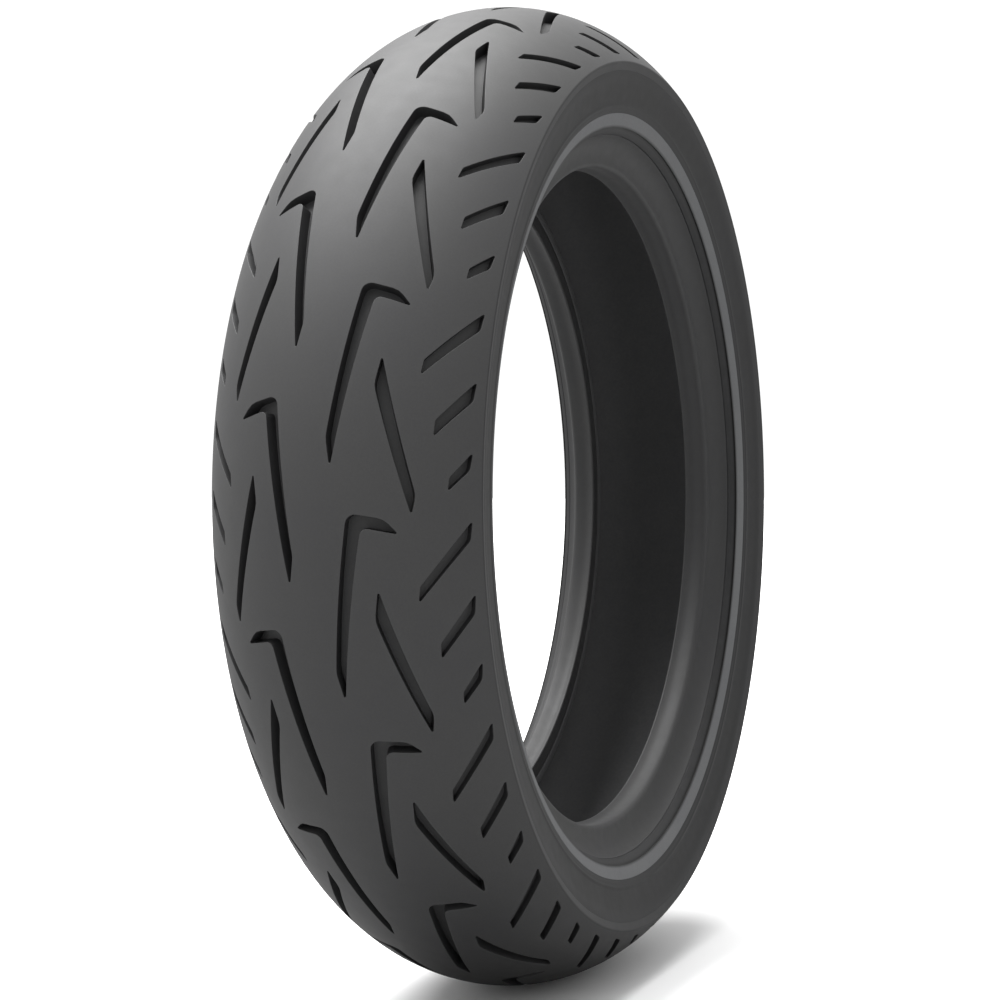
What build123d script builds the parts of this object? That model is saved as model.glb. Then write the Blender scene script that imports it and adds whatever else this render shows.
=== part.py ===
from build123d import *
import os
from math import asin, atan2, cos, radians, sin

# Tubeless scooter tyre, size 130/60-13, off the rim.
# The origin is the middle of the tyre, the axle runs along Y, and the tyre stands on its tread.
# Left pieces lie on +Y and right pieces on -Y.
# Sections are drawn with x along the axle from the centre plane and y as the radius.

# Outside shape
overall_radius = 245.0
shoulder_half_width = 63.0
shoulder_drop = 31.2            # how far the shoulder edge lies below the crown
shoulder_edge_fillet = 1.6
sidewall_hollow = 0.4           # how far the sidewall's face bows inward between its two edges

# Rim seat
bead_seat_radius = 164.7        # 13 inch rim
toe_half_width = 28.6           # inner edge of the bead sole
seat_land_length = 8.0
toe_drop = 1.2                  # how far the toe ramp falls below the seat
toe_fillet = 0.8
heel_radius = 2.5

# Features of the sidewall, as heights above the bead seat and insets from the shoulder edge
crease_height = 15.6
crease_inset = 12.8
band_inner_height = 18.8
band_inner_inset = 9.5
band_outer_height = 25.25
band_outer_inset = 6.4
band_outer_stand = 0.15         # how proud the grey band stands at its outer edge
band_inner_stand = 0.6          # and at its inner edge
band_gauge = 1.5                # how deep the band is let into the sidewall
band_edge_fillet = 0.1

# Layers under the tread
tread_cap_gauge = 7.5
tread_base_gauge = 1.5
breaker_gauge = 0.9
outer_breaker_half_width = 44.0
inner_breaker_half_width = 48.0
tread_wing = 4.0                # how far the tread cap laps over the sidewall

# Casing
ply_gauge = 0.9
liner_gauge = 1.6
sidewall_gauge = 2.8            # sidewall rubber over the plies at its thinnest
casing_shoulder_radius = 9.0
casing_side_radius = 7.0
casing_side_run = 0.5           # straight casing between the shoulder arc and the side bend
outer_ply_turn_up = 22.5        # heights of the turned-up ply ends above the seat
inner_ply_turn_up = 17.5

# Bead
wire_radius = 0.5
wire_pitch = 1.2
wires_per_row = 4
wire_rows = 4
wire_margin = 0.1               # rubber beyond half a pitch outside the outermost wires
wrap_gauge = 0.6
wrap_height = 7.0               # how far the bead wrap climbs past the wire bundle
chafer_gauge = 0.7
chafer_height = 12.0            # outer end of the chafer above the seat
toe_strip_height = 7.3          # inner end of the chafer and of the rim cushion above the seat
sole_cushion_gauge = 1.2
heel_cushion_gauge = 0.8
filler_tip_height = 27.3
bead_turn_radius = 1.5
filler_root_rise = 1.0          # where the plies lean off the bundle, above the bundle's top
filler_root_radius = 3.0
casing_foot_radius = 6.0
casing_foot_rise = 3.2          # where the casing leaves the bundle, above the bundle's top

# Tread grooves
pitch_count = 16
groove_depth = 5.5
slit_depth = 3.5
slit_margin = 4.85              # from the outer tip of a slit to the shoulder edge
right_pattern_turn = 20.9       # degrees from -X towards +Z at which a right-hand hook begins
cutter_reach = 14.0             # half the height of a groove cutter
cutter_stand = 1.0              # how far a cutter stands above the tread

# Each corner is a distance from the centreline, a distance round the tread and a corner radius.
hook_corners = [
    (37.5, 8.7, 0),
    (31.5, 2.2, 8),
    (16.7, -0.3, 4),
    (7.5, 65.5, 12),
    (9.6, 78.1, 0),
    (22.3, 5.6, 3),
]
blade_corners = [(28.2, 31.0, 0), (26.1, 43.9, 10), (42.7, 97.2, 0), (44.5, 88.8, 10)]
# The slits are measured from their outer tips, towards the centreline and round the tread.
long_slit_corners = [(0, 0, 0), (1.0, 9.0, 5), (23.9, 34.1, 0), (22.9, 27.1, 2)]
medium_slit_corners = [(0, 0, 0), (1.0, 9.3, 5), (17.0, 26.6, 0), (16.5, 19.5, 2)]
short_slit_corners = [(0, 0, 0), (1.2, 8.4, 5), (10.5, 17.6, 0), (9.9, 11.6, 2)]
slit_starts = [4.0, 37.2, 69.5]

# Crown arcs share one centre, so every layer under the tread is an even offset of the tread.
crown_radius = (shoulder_half_width**2 + shoulder_drop**2) / (2 * shoulder_drop)
crown_centre = overall_radius - crown_radius
base_outer_radius = crown_radius - tread_cap_gauge
breaker_outer_radius = base_outer_radius - tread_base_gauge
breaker_inner_radius = breaker_outer_radius - breaker_gauge
casing_crown_radius = breaker_inner_radius - breaker_gauge

# Corners of the outside shape
shoulder = Vector(shoulder_half_width, overall_radius - shoulder_drop)
band_outer = Vector(shoulder_half_width - band_outer_inset, bead_seat_radius + band_outer_height)
band_inner = Vector(shoulder_half_width - band_inner_inset, bead_seat_radius + band_inner_height)
crease = Vector(shoulder_half_width - crease_inset, bead_seat_radius + crease_height)

# The wire bundle sits on the layers that wrap round it, stacked out from the toe and the sole.
layers_below = sole_cushion_gauge + chafer_gauge + 2 * ply_gauge + wrap_gauge
bundle_width = wires_per_row * wire_pitch + 2 * wire_margin
bundle_height = wire_rows * wire_pitch + 2 * wire_margin
bundle_inner = toe_half_width + liner_gauge + 2 * ply_gauge + wrap_gauge
bundle_outer = bundle_inner + bundle_width
bundle_bottom = bead_seat_radius + layers_below
bundle_top = bundle_bottom + bundle_height
bundle_middle = bundle_inner + bundle_width / 2
heel_half_width = bundle_outer + wrap_gauge + 2 * ply_gauge + chafer_gauge + heel_cushion_gauge

# The casing line is the outer face of the outer ply. Its sidewall runs parallel to the outside.
sidewall_lean = atan2(shoulder.X - band_outer.X, shoulder.Y - band_outer.Y)
sidewall_normal = Vector(cos(sidewall_lean), -sin(sidewall_lean))
sidewall_down = Vector(-sin(sidewall_lean), -cos(sidewall_lean))
sidewall_reach = sidewall_normal.dot(shoulder) - sidewall_gauge
shoulder_arm = casing_crown_radius - casing_shoulder_radius
shoulder_rise = sidewall_reach - casing_shoulder_radius + crown_centre * sin(sidewall_lean)
crown_sweep = sidewall_lean + asin(shoulder_rise / shoulder_arm)
crown_direction = Vector(sin(crown_sweep), cos(crown_sweep))
casing_crown_top = Vector(0, crown_centre + casing_crown_radius)
casing_crown_end = Vector(0, crown_centre) + crown_direction * casing_crown_radius
casing_shoulder_centre = Vector(0, crown_centre) + crown_direction * shoulder_arm
casing_side_top = casing_shoulder_centre + sidewall_normal * casing_shoulder_radius
casing_foot = Vector(bundle_inner - wrap_gauge, bundle_top + casing_foot_rise)

# The line from the foot is tangent to the side bend's arc and meets the sidewall's line at its corner.
side_arc_centre = casing_side_top + sidewall_down * casing_side_run - sidewall_normal * casing_side_radius
foot_to_arc = side_arc_centre - casing_foot
foot_lean = atan2(foot_to_arc.X, foot_to_arc.Y) + asin(casing_side_radius / foot_to_arc.length)
foot_direction = Vector(sin(foot_lean), cos(foot_lean))
foot_gap = sidewall_reach - sidewall_normal.dot(casing_foot)
casing_side_bend = casing_foot + foot_direction * (foot_gap / sidewall_normal.dot(foot_direction))

# The bead filler tapers from the bundle's outer corner to a tip on the casing line.
filler_tip_radius = bead_seat_radius + filler_tip_height
filler_tip = casing_foot + foot_direction * ((filler_tip_radius - casing_foot.Y) / foot_direction.Y)
filler_root = Vector(bundle_outer + wrap_gauge, bundle_top + filler_root_rise)
section_reach = overall_radius + shoulder_half_width    # longer than anything in the section
section_top = 2 * overall_radius                        # above anything in the section


def turn_up_end(height):
    # Point on the filler's outer face at a height above the seat
    fraction = (bead_seat_radius + height - filler_root.Y) / (filler_tip.Y - filler_root.Y)
    return filler_root + (filler_tip - filler_root) * fraction


def shifted(corners, depth):
    # Corners of a polyline moved to its left by a depth
    directions = [(after - before).normalized() for before, after in zip(corners, corners[1:])]
    lefts = [Vector(-direction.Y, direction.X) for direction in directions]
    mitred = [
        corner + (left_before + left_after) * (depth / (1 + left_before.dot(left_after)))
        for corner, left_before, left_after in zip(corners[1:-1], lefts, lefts[1:])
    ]
    return [corners[0] + lefts[0] * depth] + mitred + [corners[-1] + lefts[-1] * depth]


def shifted_radii(corners, radii, depth):
    # Corner radii of the shifted polyline, smaller where it turns left
    legs = [after - before for before, after in zip(corners, corners[1:])]
    turns = [before.cross(after).Z for before, after in zip(legs, legs[1:])]
    return [radius - depth if turn > 0 else radius + depth for radius, turn in zip(radii, turns)]


def casing_line(start, start_radii, depth):
    # Casing from points near the bead up to the crown's centre, a depth inside the outer ply's face
    corners = start + [casing_foot, casing_side_bend, casing_side_top]
    radii = start_radii + [casing_foot_radius, casing_side_radius]
    crown_end = casing_crown_end - crown_direction * depth
    with BuildLine() as line:
        side = FilletPolyline(*shifted(corners, depth), radius=shifted_radii(corners, radii, depth))
        shoulder_arc = TangentArc(side @ 1, crown_end, tangent=side % 1)
        TangentArc(crown_end, casing_crown_top - Vector(0, depth), tangent=shoulder_arc % 1)
    return line.wire()


def layer(start, start_radii, near, far):
    # Band between two depths of one casing line
    near_line = casing_line(start, start_radii, near)
    far_line = casing_line(start, start_radii, far)
    with BuildSketch() as band:
        with BuildLine():
            add(near_line)
            add(far_line)
            Line(near_line @ 0, far_line @ 0)
            Line(near_line @ 1, far_line @ 1)
        make_face()
    return band.sketch


def turned_up_start(end_height):
    # First points of a ply that is turned up round the bead, ending at a height above the seat
    bundle_foot = bundle_bottom - wrap_gauge
    points = [
        turn_up_end(end_height),
        filler_root,
        Vector(filler_root.X, bundle_foot),
        Vector(casing_foot.X, bundle_foot),
    ]
    return points, [filler_root_radius, bead_turn_radius, bead_turn_radius]


def crown_disc(radius):
    # Half disc under one of the crown's arcs
    with BuildSketch() as disc:
        with Locations((0, crown_centre)):
            Circle(radius)
        Rectangle(section_reach, 2 * section_reach, align=(Align.MIN, Align.CENTER), mode=Mode.INTERSECT)
    return disc.sketch


def block(low_x, low_y, high_x, high_y):
    # Rectangle between two corners of the section
    with BuildSketch() as area:
        with Locations((low_x, low_y)):
            Rectangle(high_x - low_x, high_y - low_y, align=(Align.MIN, Align.MIN))
    return area.sketch


# Everything inside the outside shape, down to the axle side of the bead soles
toe_radius = bead_seat_radius - toe_drop
land_start = heel_half_width - heel_radius
land_end = land_start - seat_land_length
flange_foot = Vector(heel_half_width, bead_seat_radius + heel_radius)
with BuildSketch() as envelope:
    with BuildLine():
        crown_arc = RadiusArc((0, overall_radius), (shoulder.X, shoulder.Y), crown_radius)
        sidewall_face = SagittaArc(crown_arc @ 1, band_outer, -sidewall_hollow)
        band_seat = Polyline(sidewall_face @ 1, band_inner, crease)
        flange_seat = TangentArc(flange_foot, band_seat @ 1, tangent=(0, 1))
        heel_arc = RadiusArc(flange_foot, (land_start, bead_seat_radius), heel_radius)
        Polyline(heel_arc @ 1, (land_end, bead_seat_radius), (toe_half_width, toe_radius), (0, toe_radius),
                 (0, overall_radius))
    make_face()
    shoulder_corner = vertices().sort_by_distance((shoulder.X, shoulder.Y))[0]
    fillet(shoulder_corner, shoulder_edge_fillet)

# The half section outside the casing, from which the rubber pieces outside the plies are cut
below_sole = Vector(casing_foot.X, 0)
with BuildSketch() as inside_casing:
    with BuildLine():
        add(casing_line([below_sole], [], 0))
        Polyline(casing_crown_top, (0, 0), below_sole)
    make_face()

with BuildSketch() as outside_casing:
    add(envelope.sketch)
    add(inside_casing.sketch, mode=Mode.SUBTRACT)

# The tread cap laps over the sidewall and ends on a line square to it.
wing_edge = shoulder + sidewall_down * tread_wing
wing_outside = wing_edge + sidewall_normal * section_reach
wing_inside = wing_edge - sidewall_normal * (wing_edge.X / sidewall_normal.X)
with BuildSketch() as above_wing_line:
    with BuildLine():
        Polyline(wing_inside, wing_outside, (wing_outside.X, section_top), (0, section_top), close=True)
    make_face()

# Plies that turn up round the bead, and the fabric strips against them
outer_ply_half = layer(*turned_up_start(outer_ply_turn_up), 0, ply_gauge)
inner_ply_half = layer(*turned_up_start(inner_ply_turn_up), ply_gauge, 2 * ply_gauge)
liner_half = layer([Vector(casing_foot.X, bead_seat_radius + toe_strip_height)], [], 2 * ply_gauge,
                   2 * ply_gauge + liner_gauge)

outside_bead = block(bundle_middle, 0, section_reach, bead_seat_radius + chafer_height)
below_toe_strip = block(0, 0, section_reach, bead_seat_radius + toe_strip_height)
with BuildSketch() as chafer_section:
    add(layer(*turned_up_start(inner_ply_turn_up), 2 * ply_gauge, 2 * ply_gauge + chafer_gauge))
    add(outside_bead + below_toe_strip, mode=Mode.INTERSECT)

# Inside the turned-up plies: wrap, wire bundle and filler
wrap_top = bundle_top + wrap_height
with BuildSketch() as wrap_section:
    add(layer(*turned_up_start(outer_ply_turn_up), -wrap_gauge, 0))
    add(block(0, 0, section_reach, wrap_top), mode=Mode.INTERSECT)

with BuildSketch() as bundle_section:
    add(block(bundle_inner, bundle_bottom, bundle_outer, bundle_top))
    bundle_foot_corners = vertices().group_by(Axis.Y)[0]
    fillet(bundle_foot_corners, bead_turn_radius - wrap_gauge)

turn_up_corners, turn_up_radii = turned_up_start(outer_ply_turn_up)
with BuildSketch() as filler_section:
    with BuildLine():
        past_foot = (casing_foot + filler_tip) / 2
        FilletPolyline(filler_tip, *turn_up_corners[1:], casing_foot, past_foot,
                       radius=turn_up_radii + [casing_foot_radius])
        Line(past_foot, filler_tip)
    make_face()
    add(wrap_section.sketch, mode=Mode.SUBTRACT)
    add(bundle_section.sketch, mode=Mode.SUBTRACT)

# The grey band is let into the sidewall and stands a little proud of it.
band_normal = (band_outer - band_inner).normalized().rotate(Axis.Z, -90)
with BuildSketch() as band_section:
    with BuildLine():
        Polyline(
            band_outer - band_normal * band_gauge,
            band_outer + band_normal * band_outer_stand,
            band_inner + band_normal * band_inner_stand,
            band_inner - band_normal * band_gauge,
            close=True,
        )
    make_face()
    fillet(vertices().sort_by_distance((section_reach, 0))[0:2], band_edge_fillet)

# Rubber outside the plies, shared out between the cap, the base, the breakers, the sidewall and the cushion
with BuildSketch() as cap_half:
    add(outside_casing.sketch)
    add(crown_disc(base_outer_radius), mode=Mode.SUBTRACT)
    add(above_wing_line.sketch, mode=Mode.INTERSECT)

with BuildSketch() as outer_breaker_half:
    add(crown_disc(breaker_outer_radius))
    add(crown_disc(breaker_inner_radius), mode=Mode.SUBTRACT)
    add(block(0, crown_centre, outer_breaker_half_width, overall_radius), mode=Mode.INTERSECT)

with BuildSketch() as inner_breaker_half:
    add(crown_disc(breaker_inner_radius))
    add(crown_disc(casing_crown_radius), mode=Mode.SUBTRACT)
    add(block(0, crown_centre, inner_breaker_half_width, overall_radius), mode=Mode.INTERSECT)

with BuildSketch() as base_half:
    add(outside_casing.sketch)
    add(crown_disc(base_outer_radius), mode=Mode.INTERSECT)
    add(above_wing_line.sketch, mode=Mode.INTERSECT)
    add(outer_breaker_half.sketch, mode=Mode.SUBTRACT)
    add(inner_breaker_half.sketch, mode=Mode.SUBTRACT)

with BuildSketch() as sidewall_section:
    add(outside_casing.sketch)
    add(above_wing_line.sketch, mode=Mode.SUBTRACT)
    add(block(0, 0, section_reach, crease.Y), mode=Mode.SUBTRACT)
    add(band_section.sketch, mode=Mode.SUBTRACT)
    for inner_piece in (outer_ply_half, inner_ply_half, wrap_section.sketch, filler_section.sketch):
        add(inner_piece, mode=Mode.SUBTRACT)

# The cushion is what is left round the bead: flange seat, heel, sole and toe.
with BuildSketch() as toe_strip:
    add(layer([below_sole], [], 0, 2 * ply_gauge + liner_gauge))
    add(envelope.sketch, mode=Mode.INTERSECT)
    add(below_toe_strip, mode=Mode.INTERSECT)

with BuildSketch() as cushion_section:
    add(outside_casing.sketch)
    add(block(0, 0, section_reach, crease.Y), mode=Mode.INTERSECT)
    add(toe_strip.sketch)
    for inner_piece in (outer_ply_half, inner_ply_half, chafer_section.sketch, wrap_section.sketch,
                        bundle_section.sketch, filler_section.sketch):
        add(inner_piece, mode=Mode.SUBTRACT)
    fillet(vertices().sort_by_distance((toe_half_width, toe_radius))[0], toe_fillet)

# The bundle is hoops of wire in rubber.
with BuildSketch() as wires_section:
    with Locations((bundle_middle, (bundle_bottom + bundle_top) / 2)):
        with GridLocations(wire_pitch, wire_pitch, wires_per_row, wire_rows):
            Circle(wire_radius)

with BuildSketch() as insulation_section:
    add(bundle_section.sketch)
    add(wires_section.sketch, mode=Mode.SUBTRACT)

# Pieces that go the whole way across the tyre
with BuildPart() as inner_liner:
    with BuildSketch(Plane.YZ):
        add(liner_half)
        mirror(about=Plane.YZ)
    revolve(axis=Axis.Y)

with BuildPart() as carcass_ply_inner:
    with BuildSketch(Plane.YZ):
        add(inner_ply_half)
        mirror(about=Plane.YZ)
    revolve(axis=Axis.Y)

with BuildPart() as carcass_ply_outer:
    with BuildSketch(Plane.YZ):
        add(outer_ply_half)
        mirror(about=Plane.YZ)
    revolve(axis=Axis.Y)

with BuildPart() as breaker_inner:
    with BuildSketch(Plane.YZ):
        add(inner_breaker_half.sketch)
        mirror(about=Plane.YZ)
    revolve(axis=Axis.Y)

with BuildPart() as breaker_outer:
    with BuildSketch(Plane.YZ):
        add(outer_breaker_half.sketch)
        mirror(about=Plane.YZ)
    revolve(axis=Axis.Y)

with BuildPart() as tread_base:
    with BuildSketch(Plane.YZ):
        add(base_half.sketch)
        mirror(about=Plane.YZ)
    revolve(axis=Axis.Y)

# Tread grooves. A place on the tread is an arc from the centreline and an angle from -X towards +Z.
half_tread_arc = crown_radius * asin(shoulder_half_width / crown_radius)
full_turn = 360
pitch_turn = full_turn / pitch_count


def tread_normal(arc, turn):
    lean = arc / crown_radius
    return Vector(-cos(lean) * cos(turn), sin(lean), cos(lean) * sin(turn))


def tread_point(arc, turn):
    crown_centre_point = Vector(-crown_centre * cos(turn), 0, crown_centre * sin(turn))
    return crown_centre_point + tread_normal(arc, turn) * crown_radius


def groove_outline(corners, start_arc, start_round, inward):
    # Corners as (distance from the centreline, distance round the tread, corner radius)
    return [(start_arc + inward * arc, start_round + along, radius) for arc, along, radius in corners]


def groove_cutter(outline, depth_ring, first_turn):
    # Solid over one groove on the +Y side, its walls square to the tread at the groove's middle
    turns = [first_turn - along / overall_radius for arc, along, radius in outline]
    arcs = [arc for arc, along, radius in outline]
    middle_arc = (min(arcs) + max(arcs)) / 2
    middle_turn = (min(turns) + max(turns)) / 2
    plane = Plane(tread_point(middle_arc, middle_turn), z_dir=tread_normal(middle_arc, middle_turn))
    corners = [plane.to_local_coords(tread_point(arc, turn)) for arc, turn in zip(arcs, turns)]
    flat_corners = [Vector(corner.X, corner.Y) for corner in corners]
    with BuildPart() as cutter:
        with BuildSketch(plane):
            with BuildLine():
                Polyline(*flat_corners, close=True)
            make_face()
            for corner, (arc, along, radius) in zip(flat_corners, outline):
                if radius > 0:
                    fillet(vertices().sort_by_distance(corner)[0], radius)
        extrude(amount=cutter_reach, both=True)
        add(depth_ring, mode=Mode.INTERSECT)
    return cutter.part


def cutting_ring(depth):
    # Ring from a groove's floor to just above the tread
    with BuildPart() as ring:
        with BuildSketch(Plane.YZ):
            add(crown_disc(crown_radius + cutter_stand))
            add(crown_disc(crown_radius - depth), mode=Mode.SUBTRACT)
            add(block(0, crown_centre, section_reach, section_top), mode=Mode.INTERSECT)
        revolve(axis=Axis.Y)
    return ring.part


groove_ring = cutting_ring(groove_depth)
slit_ring = cutting_ring(slit_depth)
slit_arc = half_tread_arc - slit_margin
right_turn = radians(right_pattern_turn)
left_turn = radians(right_pattern_turn - pitch_turn / 2)
slits = (long_slit_corners, medium_slit_corners, short_slit_corners)
pattern = [(groove_outline(corners, 0, 0, 1), groove_ring) for corners in (hook_corners, blade_corners)]
for slit_corners, slit_start in zip(slits, slit_starts):
    pattern.append((groove_outline(slit_corners, slit_arc, slit_start, -1), slit_ring))

with BuildPart() as tread_cap:
    with BuildSketch(Plane.YZ):
        add(cap_half.sketch)
        mirror(about=Plane.YZ)
    revolve(axis=Axis.Y)
    cutters = []
    for outline, ring in pattern:
        left_cutter = groove_cutter(outline, ring, left_turn)
        right_cutter = mirror(groove_cutter(outline, ring, right_turn), about=Plane.XZ, mode=Mode.PRIVATE)
        for pitch in range(pitch_count):
            cutters.append(left_cutter.rotate(Axis.Y, pitch * pitch_turn))
            cutters.append(right_cutter.rotate(Axis.Y, pitch * pitch_turn))
    add(cutters, mode=Mode.SUBTRACT)

# Every piece that goes the whole way across, and then the pieces that come in mirrored pairs
os.makedirs("parts", exist_ok=True)
whole_pieces = {
    "tread_cap": tread_cap,
    "tread_base": tread_base,
    "breaker_outer": breaker_outer,
    "breaker_inner": breaker_inner,
    "carcass_ply_outer": carcass_ply_outer,
    "carcass_ply_inner": carcass_ply_inner,
    "inner_liner": inner_liner,
}
for piece_name, piece in whole_pieces.items():
    piece.part.label = piece_name
    export_step(piece.part, f"parts/{piece_name}.step")

paired_sections = {
    "sidewall": sidewall_section,
    "sidewall_band": band_section,
    "rim_cushion": cushion_section,
    "chafer": chafer_section,
    "bead_wrap": wrap_section,
    "bead_filler": filler_section,
    "bead_insulation": insulation_section,
    "bead_wires": wires_section,
}
for piece_name, section in paired_sections.items():
    with BuildPart() as left_piece:
        with BuildSketch(Plane.YZ):
            add(section.sketch)
        revolve(axis=Axis.Y)
    with BuildPart() as right_piece:
        add(left_piece.part, rotation=(0, 0, 180))
    for side, piece in (("left", left_piece), ("right", right_piece)):
        piece.part.label = f"{piece_name}_{side}"
        export_step(piece.part, f"parts/{piece_name}_{side}.step")
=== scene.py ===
from math import asin, atan2, ceil, cos, pi, radians, sin, tan

import bmesh
import bpy
import numpy as np
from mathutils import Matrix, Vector
from mathutils.geometry import delaunay_2d_cdt


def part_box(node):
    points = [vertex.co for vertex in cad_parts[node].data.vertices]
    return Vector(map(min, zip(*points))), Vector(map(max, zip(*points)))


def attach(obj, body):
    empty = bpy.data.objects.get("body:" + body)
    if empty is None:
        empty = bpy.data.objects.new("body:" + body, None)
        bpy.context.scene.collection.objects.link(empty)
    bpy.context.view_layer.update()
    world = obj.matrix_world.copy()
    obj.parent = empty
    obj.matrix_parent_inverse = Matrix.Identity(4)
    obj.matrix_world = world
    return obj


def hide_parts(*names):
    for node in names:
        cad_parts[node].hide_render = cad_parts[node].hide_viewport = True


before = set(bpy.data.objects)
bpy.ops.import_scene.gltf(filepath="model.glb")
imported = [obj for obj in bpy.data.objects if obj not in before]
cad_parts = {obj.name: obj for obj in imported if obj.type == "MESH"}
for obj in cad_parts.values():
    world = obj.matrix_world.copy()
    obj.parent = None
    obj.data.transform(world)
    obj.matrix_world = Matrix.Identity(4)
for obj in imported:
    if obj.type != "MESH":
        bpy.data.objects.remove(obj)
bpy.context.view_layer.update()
print("frame loaded with", len(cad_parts), "nodes")

# Tubeless tyre 130/60-13, off the rim: axle along Y, standing on its tread, right side on -Y.
# Dictionary values are millimetres and degrees unless a note says otherwise. Meshes are in metres.
mm = 0.001
columns = 512                    # faces round every turned piece
dice = np.random.default_rng(13)
overallRadius = round(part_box("tread_cap")[1].z / mm)     # the mesh's facets fall a hair short of it


def linear(hexColour):
    # sRGB hex to the linear colour that a shader wants
    channels = [int(hexColour[place:place + 2], 16) / 255 for place in (1, 3, 5)]
    return [c / 12.92 if c <= 0.04045 else ((c + 0.055) / 1.055) ** 2.4 for c in channels] + [1]


def addNode(tree, kind, inputs, **settings):
    # inputs maps a socket's name or number to a value, to another node or to one of its outputs
    node = tree.nodes.new(kind)
    for name, value in settings.items():
        setattr(node, name, value)
    for name, value in inputs.items():
        if isinstance(value, bpy.types.Node):
            value = value.outputs[0]
        if isinstance(value, bpy.types.NodeSocket):
            tree.links.new(value, node.inputs[name])
        else:
            node.inputs[name].default_value = value
    return node


def newMaterial(name, ior, metallic, roughness):
    # Principled material whose uniform numbers are set on the shader's own sockets
    material = bpy.data.materials.new(name)
    material.use_nodes = True
    shader = material.node_tree.nodes["Principled BSDF"]
    if ior:
        shader.inputs["IOR"].default_value = ior
    shader.inputs["Metallic"].default_value = metallic
    shader.inputs["Roughness"].default_value = roughness
    return material, material.node_tree, shader


# Vulcanised rubber: carbon black makes it near black, and the steel mould's blasted face leaves it satin.
# Oils and wax that come to the surface dull it in broad, soft clouds. Real mould grain is about 0.1 mm,
# too fine to show, so it is drawn as coarse as grainMm says.
rubberFinishes = {
    # From the mould's blasted face: an even satin, with shade painted darker down inside the grooves.
    "mouldedTreadRubber": {
        "colour": "#323233", "bloom": "#353535", "edge": "#3b3b3b", "groove": "#1f1f20",
        "roughness": (0.55, 0.60), "cloudMm": 70, "grainMm": 0.9, "grainHeight": 0.010, "turnedMm": 0,
    },
    # The sidewall plate is turned on a lathe, so faint rings run round it under the same satin.
    "mouldedSidewallRubber": {
        "colour": "#1f1f20", "bloom": "#222222", "edge": "#2a2a2b", "groove": "#0c0c0c", "gloss": 0.32,
        "roughness": (0.56, 0.62), "cloudMm": 55, "grainMm": 0.8, "grainHeight": 0.006, "turnedMm": 1.2,
    },
    # Silica in place of most of the carbon black: a flat mid grey, chalkier than the rubber beside it.
    "greyCompoundRubber": {
        "colour": "#5b5c5e", "bloom": "#606162", "edge": "#838487", "groove": "#0c0c0c",
        "roughness": (0.58, 0.66), "cloudMm": 40, "grainMm": 0.7, "grainHeight": 0.006, "turnedMm": 1.0,
    },
    # Dense abrasion-proof rubber pressed on a polished bead ring: smoother and evenly dull.
    "pressedBeadRubber": {
        "colour": "#2b2b2c", "bloom": "#2f2f2f", "edge": "#343435", "groove": "#1c1c1d",
        "roughness": (0.58, 0.66), "cloudMm": 45, "grainMm": 0.7, "grainHeight": 0.005, "turnedMm": 1.6,
    },
    # Airtight butyl printed by the curing bladder: dead matt, greyed by
    # release powder, with soft ripples round it.
    "butylLinerRubber": {
        "colour": "#4c4c4d", "bloom": "#525253", "edge": "#575758", "groove": "#1c1c1c",
        "roughness": (0.62, 0.74), "cloudMm": 60, "grainMm": 1.6, "grainHeight": 0.020, "turnedMm": 3.0,
    },
    # Cool-running rubber calendered in a strip under the tread: plain black with a coarser grain.
    "calenderedBaseRubber": {
        "colour": "#1f1f20", "bloom": "#262626", "edge": "#262626", "groove": "#1f1f20",
        "roughness": (0.60, 0.72), "cloudMm": 30, "grainMm": 1.2, "grainHeight": 0.020, "turnedMm": 2.0,
    },
    # Hard filler, and the rubber round the wires, drawn through a die: slightly glossy, with drawn lines.
    "extrudedFillerRubber": {
        "colour": "#202022", "bloom": "#272728", "edge": "#2c2c2c", "groove": "#202022",
        "roughness": (0.38, 0.50), "cloudMm": 25, "grainMm": 0.8, "grainHeight": 0.008, "turnedMm": 0.9,
    },
}


turnedHeight = 0.0012            # how far the cutter's rings stand up, in mm


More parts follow.
